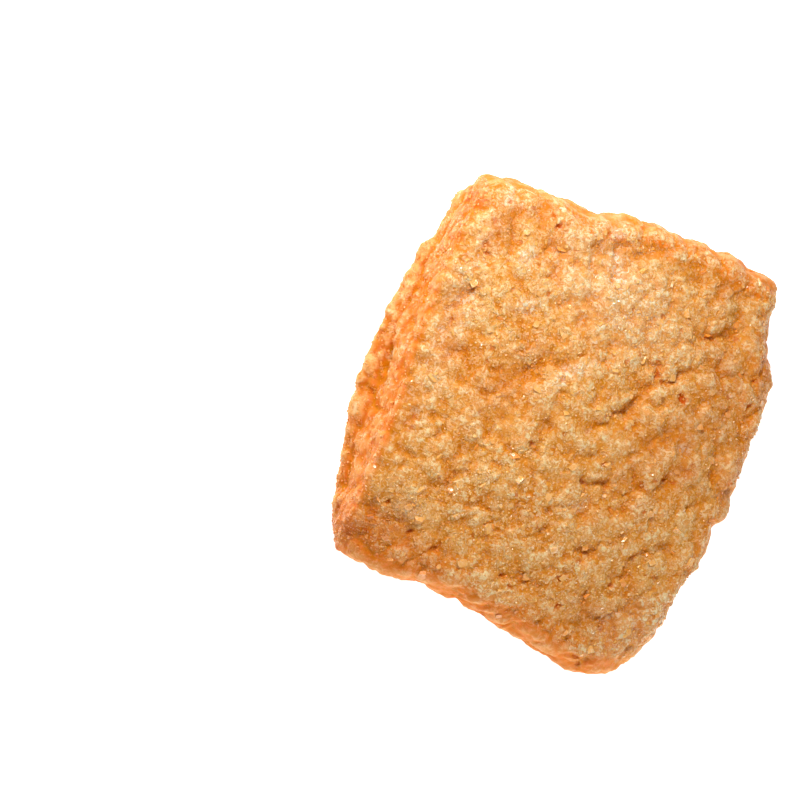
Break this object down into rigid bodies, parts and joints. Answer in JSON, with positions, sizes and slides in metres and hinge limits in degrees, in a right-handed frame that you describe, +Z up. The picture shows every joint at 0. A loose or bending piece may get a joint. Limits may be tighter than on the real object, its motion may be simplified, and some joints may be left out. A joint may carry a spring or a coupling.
{
  "type": "lemon biscuit",
  "caption": "Thick, nearly square sugared biscuit: a domed crumbly top, two rolled sides, one cut side over a rough foot and one broken side, flat underneath.",
  "frame": {"origin": "middle of the bounding box on the flat base", "axes": "+Z up out of the base, +Y along the longer side, -X towards the cut side"},
  "size_m": [0.0478, 0.053, 0.0117],
  "materials": {
    "crumb": "matt golden-brown crumb, covered in clear sugar grains"
  },
  "bodies": {
    "root": {"biscuit": "crumb"}
  },
  "joints": []
}
